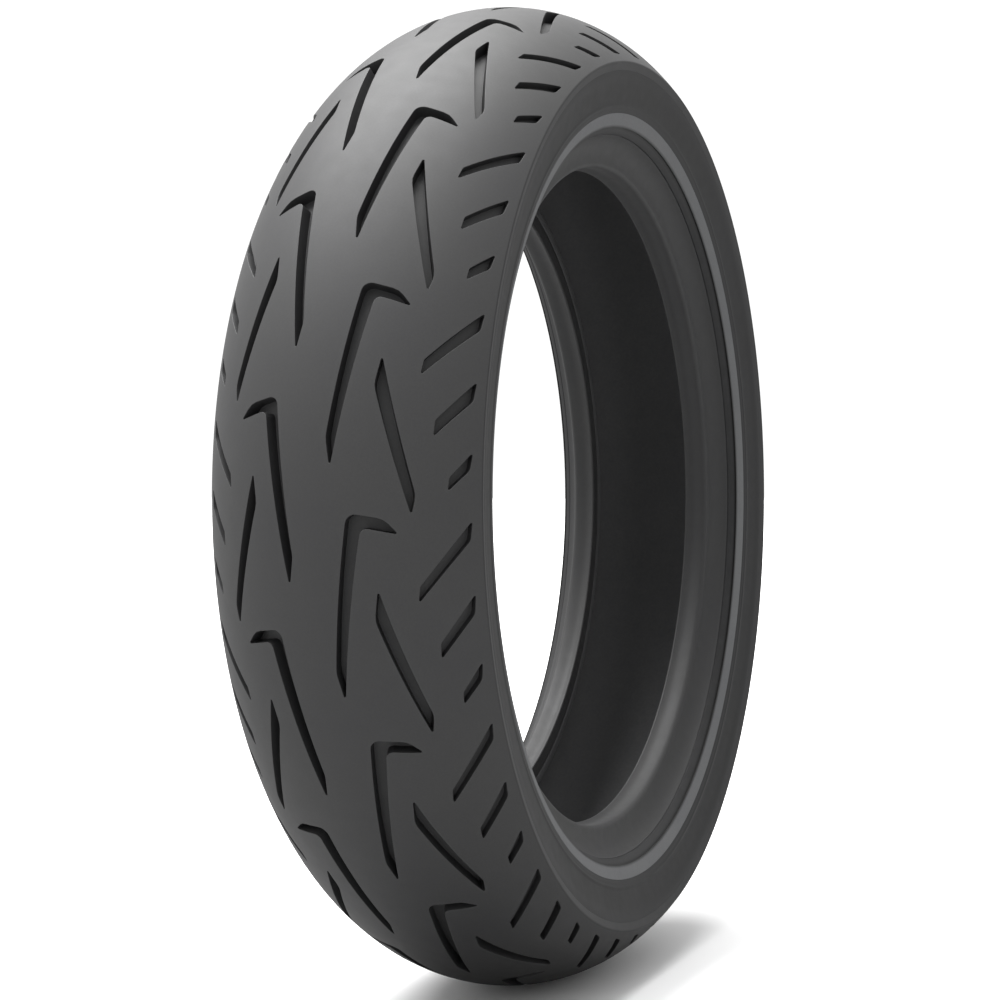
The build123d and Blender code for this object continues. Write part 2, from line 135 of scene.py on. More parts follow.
def rubber(name):
    # Bloom clouds, and edges lighter from rubbing and from a painted highlight, in the colour, a satin that
    # varies, and grain and turned rings as relief
    finish = rubberFinishes[name]
    low, high = finish["roughness"]
    material, tree, shader = newMaterial(name, 1.52, 0, (low + high) / 2)
    shader.inputs["Specular IOR Level"].default_value = finish.get("gloss", 0.5)
    place = addNode(tree, "ShaderNodeTexCoord", {}).outputs["Object"]
    cloudScale = 1 / (finish["cloudMm"] * mm)
    grainScale = 1 / (finish["grainMm"] * mm)
    clouds = addNode(tree, "ShaderNodeTexNoise", {"Vector": place, "Scale": cloudScale, "Detail": 4})
    scuffs = addNode(tree, "ShaderNodeTexNoise", {"Vector": place, "Scale": 9 * cloudScale, "Detail": 5})
    grain = addNode(tree, "ShaderNodeTexNoise", {"Vector": place, "Scale": grainScale, "Detail": 2})
    edge = addNode(tree, "ShaderNodeAttribute", {}, attribute_name="edge").outputs["Fac"]
    groove = addNode(tree, "ShaderNodeAttribute", {}, attribute_name="groove").outputs["Fac"]

    bloomShare = addNode(tree, "ShaderNodeMapRange", {"Value": clouds, "From Min": 0.35, "From Max": 0.65})
    bloomed = addNode(tree, "ShaderNodeMix", {"Factor": bloomShare, 6: linear(finish["colour"]),
                                              7: linear(finish["bloom"])}, data_type="RGBA").outputs[2]
    scuffShare = addNode(tree, "ShaderNodeMapRange", {"Value": scuffs, "From Min": 0.35, "From Max": 0.7,
                                                      "To Min": 0.25})
    # Rounded edges take the lighter edge colour: partly rubbed wear, partly a painted highlight, strongest on
    # the grey band's arrises.
    rubbedAndHighlit = addNode(tree, "ShaderNodeMath", {0: edge, 1: scuffShare}, operation="MULTIPLY")
    edged = addNode(tree, "ShaderNodeMix", {"Factor": rubbedAndHighlit, 6: bloomed, 7: linear(finish["edge"])},
                    data_type="RGBA").outputs[2]
    speckle = addNode(tree, "ShaderNodeMapRange", {"Value": grain, "From Min": 0.3, "From Max": 0.7,
                                                   "To Min": 0.93, "To Max": 1.07})
    speckled = addNode(tree, "ShaderNodeHueSaturation", {"Color": edged, "Value": speckle})
    # Painted shade: groove walls and floors, and the line at the grey band's inner step, take the darker
    # colour. On the tread's wing it is the sidewall's own tone.
    coloured = addNode(tree, "ShaderNodeMix", {"Factor": groove, 6: speckled, 7: linear(finish["groove"])},
                       data_type="RGBA").outputs[2]
    tree.links.new(coloured, shader.inputs["Base Color"])

    mottle = addNode(tree, "ShaderNodeMath", {0: clouds, 1: scuffs}, operation="ADD")
    satin = addNode(tree, "ShaderNodeMapRange", {"Value": mottle, "From Min": 0.7, "From Max": 1.3,
                                                 "To Min": low, "To Max": high})
    tree.links.new(satin.outputs[0], shader.inputs["Roughness"])

    relief = addNode(tree, "ShaderNodeMath", {0: grain, 1: finish["grainHeight"] * mm}, operation="MULTIPLY")
    if finish["turnedMm"]:
        split = addNode(tree, "ShaderNodeSeparateXYZ", {"Vector": place})
        wheelPlane = addNode(tree, "ShaderNodeCombineXYZ", {"X": split.outputs["X"], "Y": split.outputs["Z"]})
        fromAxle = addNode(tree, "ShaderNodeVectorMath", {0: wheelPlane}, operation="LENGTH").outputs["Value"]
        along = addNode(tree, "ShaderNodeMath", {0: fromAxle, 1: split.outputs["Y"]}, operation="ADD")
        # A slow wander of up to 0.6 mm keeps the cutter's lines from looking ruled.
        wandered = addNode(tree, "ShaderNodeMath", {0: scuffs, 1: 0.6 * mm, 2: along},
                           operation="MULTIPLY_ADD")
        phase = addNode(tree, "ShaderNodeMath", {0: wandered, 1: 2 * pi / (finish["turnedMm"] * mm)},
                        operation="MULTIPLY")
        rings = addNode(tree, "ShaderNodeMath", {0: phase}, operation="SINE")
        relief = addNode(tree, "ShaderNodeMath", {0: rings, 1: turnedHeight * mm, 2: relief},
                         operation="MULTIPLY_ADD")
    bump = addNode(tree, "ShaderNodeBump", {"Height": relief, "Distance": 1.0, "Strength": 1.0})
    tree.links.new(bump.outputs[0], shader.inputs["Normal"])
    return material


# Nylon cords laid side by side and pressed into rubber: fine slanting ribs, browner where the cord shows.
cordFinishes = {
    "calenderedPlyCord": {
        "cord": "#4a4034", "rubber": "#1c1b1a", "pitchMm": 1.1, "angle": 38, "height": 0.12},
    "calenderedBreakerCord": {
        "cord": "#54493a", "rubber": "#1c1b1a", "pitchMm": 1.3, "angle": 24, "height": 0.14},
}


def cordRubber(name):
    # Ribs at an angle to the way round the tyre, wandering a little and showing through unevenly
    finish = cordFinishes[name]
    slant = radians(finish["angle"])
    material, tree, shader = newMaterial(name, 1.5, 0, 0.6)
    place = addNode(tree, "ShaderNodeTexCoord", {}).outputs["Object"]
    split = addNode(tree, "ShaderNodeSeparateXYZ", {"Vector": place})
    turn = addNode(tree, "ShaderNodeMath", {0: split.outputs["Z"], 1: split.outputs["X"]},
                   operation="ARCTAN2")
    roundWay = addNode(tree, "ShaderNodeMath", {0: turn, 1: overallRadius * mm * sin(slant)},
                       operation="MULTIPLY")
    lay = addNode(tree, "ShaderNodeMath", {0: split.outputs["Y"], 1: cos(slant), 2: roundWay},
                  operation="MULTIPLY_ADD")
    drift = addNode(tree, "ShaderNodeTexNoise", {"Vector": place, "Scale": 1 / (18 * mm), "Detail": 2})
    wandered = addNode(tree, "ShaderNodeMath", {0: drift, 1: 0.8 * mm, 2: lay}, operation="MULTIPLY_ADD")
    phase = addNode(tree, "ShaderNodeMath", {0: wandered, 1: 2 * pi / (finish["pitchMm"] * mm)},
                    operation="MULTIPLY")
    rib = addNode(tree, "ShaderNodeMath", {0: phase}, operation="SINE")
    blotch = addNode(tree, "ShaderNodeTexNoise", {"Vector": place, "Scale": 1 / (6 * mm), "Detail": 4})
    cover = addNode(tree, "ShaderNodeMapRange", {"Value": blotch, "From Min": 0.4, "From Max": 0.7,
                                                 "To Min": 0.2, "To Max": 0.8})
    ribShare = addNode(tree, "ShaderNodeMapRange", {"Value": rib, "From Min": 0, "From Max": 1})
    show = addNode(tree, "ShaderNodeMath", {0: ribShare, 1: cover}, operation="MULTIPLY")
    coloured = addNode(tree, "ShaderNodeMix", {"Factor": show, 6: linear(finish["rubber"]),
                                               7: linear(finish["cord"])}, data_type="RGBA").outputs[2]
    tree.links.new(coloured, shader.inputs["Base Color"])
    satin = addNode(tree, "ShaderNodeMapRange", {"Value": blotch, "From Min": 0.3, "From Max": 0.7,
                                                 "To Min": 0.52, "To Max": 0.7})
    tree.links.new(satin.outputs[0], shader.inputs["Roughness"])
    relief = addNode(tree, "ShaderNodeMath", {0: rib, 1: finish["height"] / 2 * mm}, operation="MULTIPLY")
    bump = addNode(tree, "ShaderNodeBump", {"Height": relief, "Distance": 1.0, "Strength": 0.6})
    tree.links.new(bump.outputs[0], shader.inputs["Normal"])
    return material


# Square-woven nylon pressed into rubber: a tiny basket of crossing threads, grey brown on black.
wovenFinish = {"thread": "#4d463c", "rubber": "#1d1c1b", "pitchMm": 1.0, "height": 0.10}


def wovenFabric(name):
    # Threads round the tyre and across it, each on top in turn
    material, tree, shader = newMaterial(name, 1.5, 0, 0.68)
    wave = 2 * pi / (wovenFinish["pitchMm"] * mm)
    beadRadius = overallRadius * 0.7 * mm
    place = addNode(tree, "ShaderNodeTexCoord", {}).outputs["Object"]
    split = addNode(tree, "ShaderNodeSeparateXYZ", {"Vector": place})
    turn = addNode(tree, "ShaderNodeMath", {0: split.outputs["Z"], 1: split.outputs["X"]},
                   operation="ARCTAN2")
    wheelPlane = addNode(tree, "ShaderNodeCombineXYZ", {"X": split.outputs["X"], "Y": split.outputs["Z"]})
    fromAxle = addNode(tree, "ShaderNodeVectorMath", {0: wheelPlane}, operation="LENGTH").outputs["Value"]
    along = addNode(tree, "ShaderNodeMath", {0: fromAxle, 1: split.outputs["Y"]}, operation="ADD")
    alongPhase = addNode(tree, "ShaderNodeMath", {0: along, 1: wave}, operation="MULTIPLY")
    roundPhase = addNode(tree, "ShaderNodeMath", {0: turn, 1: wave * beadRadius}, operation="MULTIPLY")
    roundThreads = addNode(tree, "ShaderNodeMath", {0: alongPhase}, operation="SINE")
    crossThreads = addNode(tree, "ShaderNodeMath", {0: roundPhase}, operation="SINE")
    weave = addNode(tree, "ShaderNodeMath", {0: roundThreads, 1: crossThreads}, operation="MULTIPLY")
    fuzz = addNode(tree, "ShaderNodeTexNoise", {"Vector": place, "Scale": 1 / (3 * mm), "Detail": 4})
    cover = addNode(tree, "ShaderNodeMapRange", {"Value": fuzz, "From Min": 0.3, "From Max": 0.7,
                                                 "To Min": 0.3, "To Max": 0.85})
    threadShare = addNode(tree, "ShaderNodeMapRange", {"Value": weave, "From Min": -0.2, "From Max": 0.8})
    show = addNode(tree, "ShaderNodeMath", {0: threadShare, 1: cover}, operation="MULTIPLY")
    coloured = addNode(tree, "ShaderNodeMix", {"Factor": show, 6: linear(wovenFinish["rubber"]),
                                               7: linear(wovenFinish["thread"])}, data_type="RGBA").outputs[2]
    tree.links.new(coloured, shader.inputs["Base Color"])
    relief = addNode(tree, "ShaderNodeMath", {0: weave, 1: wovenFinish["height"] / 2 * mm},
                     operation="MULTIPLY")
    bump = addNode(tree, "ShaderNodeBump", {"Height": relief, "Distance": 1.0, "Strength": 0.7})
    tree.links.new(bump.outputs[0], shader.inputs["Normal"])
    return material


# Drawn steel wire with a thin bronze coat that rubber bonds to: a warm metal with fine lines along it.
# Real draw lines are about 0.02 mm, too fine to show, so they are drawn coarser.
wireFinish = {"bronze": "#b08a5c", "dull": "#7a6248", "roughness": (0.28, 0.48), "drawMm": 0.25}


def drawnBronzedWire(name):
    # The streaks run round the hoops, as the wire does
    low, high = wireFinish["roughness"]
    material, tree, shader = newMaterial(name, None, 1, (low + high) / 2)
    place = addNode(tree, "ShaderNodeTexCoord", {}).outputs["Object"]
    split = addNode(tree, "ShaderNodeSeparateXYZ", {"Vector": place})
    wheelPlane = addNode(tree, "ShaderNodeCombineXYZ", {"X": split.outputs["X"], "Y": split.outputs["Z"]})
    fromAxle = addNode(tree, "ShaderNodeVectorMath", {0: wheelPlane}, operation="LENGTH").outputs["Value"]
    turned = addNode(tree, "ShaderNodeCombineXYZ", {"X": fromAxle, "Y": split.outputs["Y"]})
    streaks = addNode(tree, "ShaderNodeTexNoise", {"Vector": turned,
                                                   "Scale": 1 / (wireFinish["drawMm"] * mm)})
    tarnish = addNode(tree, "ShaderNodeTexNoise", {"Vector": place, "Scale": 1 / (12 * mm), "Detail": 4})
    dullShare = addNode(tree, "ShaderNodeMapRange", {"Value": tarnish, "From Min": 0.4, "From Max": 0.7})
    coloured = addNode(tree, "ShaderNodeMix", {"Factor": dullShare, 6: linear(wireFinish["bronze"]),
                                               7: linear(wireFinish["dull"])}, data_type="RGBA").outputs[2]
    tree.links.new(coloured, shader.inputs["Base Color"])
    satin = addNode(tree, "ShaderNodeMapRange", {"Value": streaks, "From Min": 0.3, "From Max": 0.7,
                                                 "To Min": low, "To Max": high})
    tree.links.new(satin.outputs[0], shader.inputs["Roughness"])
    relief = addNode(tree, "ShaderNodeMath", {0: streaks, 1: 0.004 * mm}, operation="MULTIPLY")
    bump = addNode(tree, "ShaderNodeBump", {"Height": relief, "Distance": 1.0, "Strength": 0.5})
    tree.links.new(bump.outputs[0], shader.inputs["Normal"])
    return material


def builtPiece(name, points, normals, masks, faces, material, slot, node):
    # Mesh object with exact shading normals and the masks that its material reads. Points are in mm.
    blocks = []
    for block in faces:
        corner = points[block]
        facing = np.cross(corner[:, 1] - corner[:, 0], corner[:, 2] - corner[:, 0])
        inward = (facing * normals[block].sum(1)).sum(1) < 0
        blocks += np.where(inward[:, None], block[:, ::-1], block).tolist()
    mesh = bpy.data.meshes.new(name)
    mesh.from_pydata((points * mm).tolist(), [], blocks)
    mesh.polygons.foreach_set("use_smooth", [True] * len(mesh.polygons))
    for label, values in zip(("edge", "groove"), masks):
        mesh.attributes.new(label, "FLOAT", "POINT").data.foreach_set("value", np.asarray(values, np.float32))
    mesh.normals_split_custom_set_from_vertices(normals.tolist())
    mesh.materials.append(material)
    piece = bpy.data.objects.new(name, mesh)
    bpy.context.scene.collection.objects.link(piece)
    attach(piece, "root")
    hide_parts(node)
    print(name, "has", sum(len(face) - 2 for face in blocks), "triangles")


treadShape = {
    "halfWidth": 63.0,           # centre plane to shoulder edge
    "shoulderDrop": 31.2,        # shoulder edge below the crown
    "shoulderRound": 1.6,
    "capGauge": 7.5,
    "wing": 4.0,                 # lap over the sidewall below the shoulder edge
    "wingInset": 7.2,            # length of the wing's lower edge
    "wingRound": 0.06,
    "sidewallFoot": (56.6, 189.95),     # from the centre plane, from the axle
    "sidewallHollow": 0.4,
    "pitches": 16,
    "rightTurn": 20.9,           # from -X towards +Z, where a right-hand hook starts
    "slitTip": 4.85,             # outer tips of the slits to the shoulder edge
    "tipRound": 0.45,            # sharp groove ends, as the cutter for the mould leaves them
    "lipRound": 0.2,             # rounded edge where a groove meets the tread
    "floorRound": 0.3,
    "floorShade": 0.1,           # how far a groove's floor goes to the painted shade colour
    "outlineStep": 2.6,          # spacing of points along a groove
    "gridRows": 22,              # rows of points from the centre to the shoulder
    "gridShake": 0.22,           # share of the spacing by which those points are scattered
    "clearance": 1.3,            # they keep this far from a groove's outline
    "baseRows": 9,
}
# Corners are a distance from the centreline, a distance round the tread and a corner radius.
# A slit's start at its outer tip and go towards the centreline.
treadGrooves = {
    "hook": {"depth": 5.5, "slitStart": None, "corners": [
        (37.5, 8.7, 0), (31.5, 2.2, 8), (16.7, -0.3, 4), (7.5, 65.5, 12), (9.6, 78.1, 0), (22.3, 5.6, 3)]},
    "blade": {"depth": 5.5, "slitStart": None, "corners": [
        (28.2, 31.0, 0), (26.1, 43.9, 10), (42.7, 97.2, 0), (44.5, 88.8, 10)]},
    "longSlit": {"depth": 3.5, "slitStart": 4.0, "corners": [
        (0, 0, 0), (1.0, 9.0, 5), (23.9, 34.1, 0), (22.9, 27.1, 2)]},
    "mediumSlit": {"depth": 3.5, "slitStart": 37.2, "corners": [
        (0, 0, 0), (1.0, 9.3, 5), (17.0, 26.6, 0), (16.5, 19.5, 2)]},
    "shortSlit": {"depth": 3.5, "slitStart": 69.5, "corners": [
        (0, 0, 0), (1.2, 8.4, 5), (10.5, 17.6, 0), (9.9, 11.6, 2)]},
}
crownRadius = ((treadShape["halfWidth"] ** 2 + treadShape["shoulderDrop"] ** 2)
               / (2 * treadShape["shoulderDrop"]))
crownCentre = overallRadius - crownRadius
shoulder = Vector((treadShape["halfWidth"], overallRadius - treadShape["shoulderDrop"]))
sidewallWay = Vector(treadShape["sidewallFoot"]) - shoulder
sidewallDown = sidewallWay.normalized()
sidewallOut = Vector((-sidewallDown.y, sidewallDown.x))
shoulderArc = crownRadius * asin(treadShape["halfWidth"] / crownRadius)      # arc from the centreline
crownFall = Vector((cos(shoulderArc / crownRadius), -sin(shoulderArc / crownRadius)))
shoulderSetback = treadShape["shoulderRound"] * tan(crownFall.angle(sidewallDown) / 2)
landEdge = shoulderArc - shoulderSetback
perPitch = columns // treadShape["pitches"]
pitchAngle = 2 * pi / treadShape["pitches"]


def cornerArc(corner, before, after, radius, stepAngle):
    # Points of the arc that rounds a corner between two neighbours
    toBefore = (before - corner).normalized()
    toAfter = (after - corner).normalized()
    half = toBefore.angle(toAfter) / 2
    centre = corner + (toBefore + toAfter).normalized() * (radius / sin(half))
    setback = radius / tan(half)
    first = corner + toBefore * setback - centre
    last = corner + toAfter * setback - centre
    firstAngle = atan2(first.y, first.x)
    sweep = (atan2(last.y, last.x) - firstAngle + pi) % (2 * pi) - pi
    steps = max(2, ceil(abs(sweep) / radians(stepAngle)))
    angles = [firstAngle + sweep * step / steps for step in range(steps + 1)]
    return [centre + Vector((cos(angle), sin(angle))) * radius for angle in angles]


def grooveOutline(corners):
    # Closed anticlockwise outline with rounded corners, fine enough to follow the crown
    places = [Vector(corner[:2]) for corner in corners]
    nextPlaces = places[1:] + places[:1]
    arcs = [cornerArc(place, places[i - 1], nextPlaces[i], max(corners[i][2], treadShape["tipRound"]), 20)
            for i, place in enumerate(places)]
    outline = []
    for arc, nextArc in zip(arcs, arcs[1:] + arcs[:1]):
        run = nextArc[0] - arc[-1]
        steps = ceil(run.length / treadShape["outlineStep"])
        outline += arc + [arc[-1] + run * (step / steps) for step in range(1, steps)]
    area = sum(a.x * b.y - b.x * a.y for a, b in zip(outline, outline[1:] + outline[:1]))
    return outline if area > 0 else outline[::-1]


def mitresInward(outline):
    # How each point of an anticlockwise outline moves when the outline shrinks by one
    mitres = []
    for before, here, after in zip(outline[-1:] + outline[:-1], outline, outline[1:] + outline[:1]):
        first = (here - before).normalized()
        second = (after - here).normalized()
        left = Vector((-first.y, first.x)) + Vector((-second.y, second.x))
        mitres.append(left / (1 + first.dot(second)))
    return mitres


def treadPitch():
    # One pitch of one side, unrolled: points (from the centreline, round the tread, depth), normals in the
    # same directions, the two masks, and faces whose corners are (pitch step, point)
    shape = treadShape
    lip = shape["lipRound"]
    pitchLength = overallRadius * pitchAngle
    spacing = pitchLength / perPitch
    points, normals, edge, groove, faces, cuts = [], [], [], [], [], []

    def addPoint(place, depth=0, lean=Vector((0, 0)), edgeMask=0, grooveMask=0):
        points.append((place.x, place.y, depth))
        normals.append((lean.x, lean.y, (1 - lean.length_squared) ** 0.5))
        edge.append(edgeMask)
        groove.append(grooveMask)
        return len(points) - 1

    centreRow = [addPoint(Vector((0, column * spacing))) for column in range(perPitch)]
    edgeRow = [addPoint(Vector((landEdge, column * spacing))) for column in range(perPitch)]
    for cut in treadGrooves.values():
        corners = cut["corners"]
        if cut["slitStart"]:
            tip = shoulderArc - shape["slitTip"]
            corners = [(tip - arc, cut["slitStart"] + along, radius) for arc, along, radius in corners]
        outline = grooveOutline(corners)
        mitres = mitresInward(outline)
        rings = []
        # The last mask paints shade down a groove's walls, and less of it on the floor.
        # Each ring: step inwards from the outline, depth, how far its normal leans into the groove, masks
        for step, depth, lean, edgeMask, grooveMask in (
            (-lip, 0, 0, 0.3, 0),
            (-0.3 * lip, 0.3 * lip, 0.7, 1, 0.2),
            (0, lip, 0.999, 0.3, 0.8),
            (0, cut["depth"] - shape["floorRound"], 0.999, 0, 1),
            (shape["floorRound"], cut["depth"], 0, 0, shape["floorShade"]),
        ):
            rings.append([
                addPoint(place + mitre * step, depth, mitre.normalized() * lean, edgeMask, grooveMask)
                for place, mitre in zip(outline, mitres)])
        for outer, inner in zip(rings, rings[1:]):
            faces += [[(0, corner) for corner in quad]
                      for quad in zip(outer, outer[1:] + outer[:1], inner[1:] + inner[:1], inner)]
        cuts.append((rings[0], rings[-1], cut["depth"]))

    onRings = [i for lipRing, floorRing, depth in cuts for i in lipRing + floorRing]
    ringPlaces = np.array([points[i][:2] for i in onRings])
    ringPlaces = np.concatenate([ringPlaces + (0, step * pitchLength) for step in (-1, 0, 1)])
    scattered = []
    for row in range(1, shape["gridRows"]):
        for column in range(perPitch):
            shake = dice.uniform(-1, 1, 2) * shape["gridShake"] * spacing
            place = (landEdge * row / shape["gridRows"] + shake[0],
                     (column + row % 2 / 2) * spacing + shake[1])
            if np.hypot(*(ringPlaces - place).T).min() > shape["clearance"]:
                scattered.append(addPoint(Vector(place)))

    # Neighbouring pitches join in, so that this pitch's triangles fit theirs.
    flat, owners, areas, areaDepths = [], [], [], []
    used = centreRow + edgeRow + onRings + scattered
    for step in range(-1, 3):
        placeOf = {i: len(flat) + order for order, i in enumerate(used)}
        flat += [Vector((points[i][0], points[i][1] + step * pitchLength)) for i in used]
        owners += [(step, i) for i in used]
        for lipRing, floorRing, depth in cuts:
            areas += [[placeOf[i] for i in lipRing], [placeOf[i] for i in floorRing]]
            areaDepths += [0, depth]
    result = delaunay_2d_cdt(flat, [], areas, 0, 1e-7)
    triangles, sources, areaSources = result[2], result[3], result[5]
    for triangle, inside in zip(triangles, areaSources):
        corner = [owners[sources[i][0]] for i in triangle]
        depth = max((areaDepths[area] for area in inside), default=0)
        # Inside a groove only the floor is kept, as its walls are there already.
        if min(step for step, i in corner) == 0 and (depth or not inside):
            faces.append(corner)
            if depth:
                for step, i in corner:
                    points[i] = (points[i][0], points[i][1], depth)
                    groove[i] = shape["floorShade"]
    return np.array(points), np.array(normals), (edge, groove), faces, centreRow, edgeRow


def shoulderRows():
    # Section from the land's edge round the shoulder, down the wing and back under the cap to the centre
    # plane, each row a place and a normal as (from the centre plane, from the axle)
    shape = treadShape
    lean = landEdge / crownRadius
    onCrown = Vector((crownRadius * sin(lean), crownCentre + crownRadius * cos(lean)))

    def onSidewall(distance):
        bow = shape["sidewallHollow"] * (1 - (2 * distance / sidewallWay.length - 1) ** 2)
        return shoulder + sidewallDown * distance - sidewallOut * bow

    places = cornerArc(shoulder, onCrown, shoulder + sidewallDown * 5, shape["shoulderRound"], 12)[1:-1]
    places += [onSidewall(shoulderSetback + 0.2), onSidewall(shape["wing"] * 0.7)]
    wingTip = onSidewall(shape["wing"])
    wingInner = wingTip - sidewallOut * shape["wingInset"]
    places += cornerArc(wingTip, places[-1], wingInner, shape["wingRound"], 30)
    baseRadius = crownRadius - shape["capGauge"]
    wingLean = asin(wingInner.x / baseRadius)
    for row in range(shape["baseRows"] + 1):
        lean = wingLean * (1 - row / shape["baseRows"])
        places.append(Vector((baseRadius * sin(lean), crownCentre + baseRadius * cos(lean))))
    chain = [onCrown] + places + [Vector((-places[-2].x, places[-2].y))]
    return [(place, Vector((before.y - after.y, after.x - before.x)).normalized())
            for before, place, after in zip(chain, places, chain[2:])]


def makeTread():
    # Both sides' pitches wrapped round the tyre, the left side half a pitch behind the right
    pitchPoints, pitchNormals, pitchMasks, pitchFaces, centreRow, edgeRow = treadPitch()
    rows = shoulderRows()
    pitches = treadShape["pitches"]
    points, normals, edge, groove, triangles, quads = [], [], [], [], [], []
    total, centreOf, underOf = 0, {}, {}
    for side in (-1, 1):
        sideTurn = radians(treadShape["rightTurn"]) - (pitchAngle / 2 if side > 0 else 0)
        start = total
        for pitch in range(pitches):
            turn = sideTurn + pitch * pitchAngle - pitchPoints[:, 1] / overallRadius
            lean = (pitchPoints[:, 0] / crownRadius)[:, None]
            outward = np.stack([-np.cos(turn), 0 * turn, np.sin(turn)], 1)
            roundWay = np.stack([-np.sin(turn), 0 * turn, -np.cos(turn)], 1)
            axial = np.array([0, side, 0])
            up = outward * np.cos(lean) + axial * np.sin(lean)
            across = axial * np.cos(lean) - outward * np.sin(lean)
            points.append(outward * crownCentre + up * (crownRadius - pitchPoints[:, 2:]))
            normals.append(across * pitchNormals[:, :1] + roundWay * pitchNormals[:, 1:2]
                           + up * pitchNormals[:, 2:])
            edge += pitchMasks[0]
            groove += pitchMasks[1]
            for face in pitchFaces:
                wrapped = [start + (pitch - step) % pitches * len(pitchPoints) + i for step, i in face]
                (triangles if len(face) == 3 else quads).append(wrapped)
        total += pitches * len(pitchPoints)
        columnStart = [start + -(column // perPitch) % pitches * len(pitchPoints)
                       for column in range(columns)]
        centreOf[side] = [columnStart[c] + centreRow[c % perPitch] for c in range(columns)]
        above = [columnStart[c] + edgeRow[c % perPitch] for c in range(columns)]
        turn = sideTurn - np.arange(columns) * 2 * pi / columns
        outward = np.stack([-np.cos(turn), 0 * turn, np.sin(turn)], 1)
        for place, normal in rows:
            points.append(outward * place.y + np.array([0, side * place.x, 0]))
            normals.append(outward * normal.y + np.array([0, side * normal.x, 0]))
            edge += [0] * columns
            groove += [1] * columns       # the wing is as dark as the sidewall that it meets
            here = list(range(total, total + columns))
            quads += zip(above, above[1:] + above[:1], here[1:] + here[:1], here)
            above = here
            total += columns
        underOf[side] = above

    # The sides share their centre rows, above and below, half a pitch of columns apart.
    same = np.arange(total)
    for row in (centreOf, underOf):
        same[row[1]] = np.roll(row[-1], -perPitch // 2)
    points, normals = np.concatenate(points), np.concatenate(normals)
    triangles, quads = same[np.array(triangles)], same[np.array(quads)]
    kept, renumbered = np.unique(np.concatenate([triangles.ravel(), quads.ravel()]), return_inverse=True)
    triangles, quads = renumbered[:triangles.size].reshape(-1, 3), renumbered[triangles.size:].reshape(-1, 4)
    return points[kept], normals[kept], (np.array(edge)[kept], np.array(groove)[kept]), (triangles, quads)


builtPiece("moulded_tread", *makeTread(), rubber("mouldedTreadRubber"), "tread_rubber", "tread_cap")

# Everything else is turned. Its section comes from the CAD piece, and gets its arrises and curves finished.
turnedShape = {
    "arrisAngle": 40,            # a corner that turns more than this is an arris
    "step": 1.5,                 # spacing of points along the section
    "linerStep": 6,
    "sidewallArris": 0.08,       # rounding of each piece's arrises
    "bandArris": 0.2,
    "beadArris": 0.5,
    "linerArris": 0.3,
    "ridgeRadius": 193.6,        # raised line outside the grey band, from the axle
    "ridgeHeight": 0.25,
    "ridgeWidth": 2.4,
    "ridgeStep": 0.4,
    "ridgeReach": 8,             # the ridge is this near the widest point, along the axle
    "shadeLineRadius": 183.3,         # dark line of painted shade where the grey band's inner edge meets the sidewall
    "shadeLineWidth": 0.9,
}


def cadSection(node):
    # Anticlockwise outline of a turned CAD piece at the top of the tyre: from the centre plane, from the axle
    mesh = bmesh.new()
    mesh.from_mesh(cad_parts[node].data)
    bmesh.ops.remove_doubles(mesh, verts=mesh.verts[:], dist=1e-6)
    neighbours = {vertex: [] for vertex in mesh.verts if abs(vertex.co.x) < 2e-6 and vertex.co.z > 0}
    for edge in mesh.edges:
        a, b = edge.verts
        if a in neighbours and b in neighbours:
            neighbours[a].append(b)
            neighbours[b].append(a)
    start = min((vertex for vertex in neighbours if neighbours[vertex]), key=lambda vertex: vertex.co.z)
    loop, before, here = [], None, start
    while not loop or here != start:
        loop.append(Vector((here.co.y / mm, here.co.z / mm)))
        before, here = here, next(vertex for vertex in neighbours[here] if vertex != before)
    mesh.free()
    area = sum(a.x * b.y - b.x * a.y for a, b in zip(loop, loop[1:] + loop[:1]))
    return loop if area > 0 else loop[::-1]


def sectionNormals(places):
    # Outward normals of an anticlockwise section
    return [Vector((after.y - before.y, before.x - after.x)).normalized()
            for before, after in zip(places[-1:] + places[:-1], places[1:] + places[:1])]


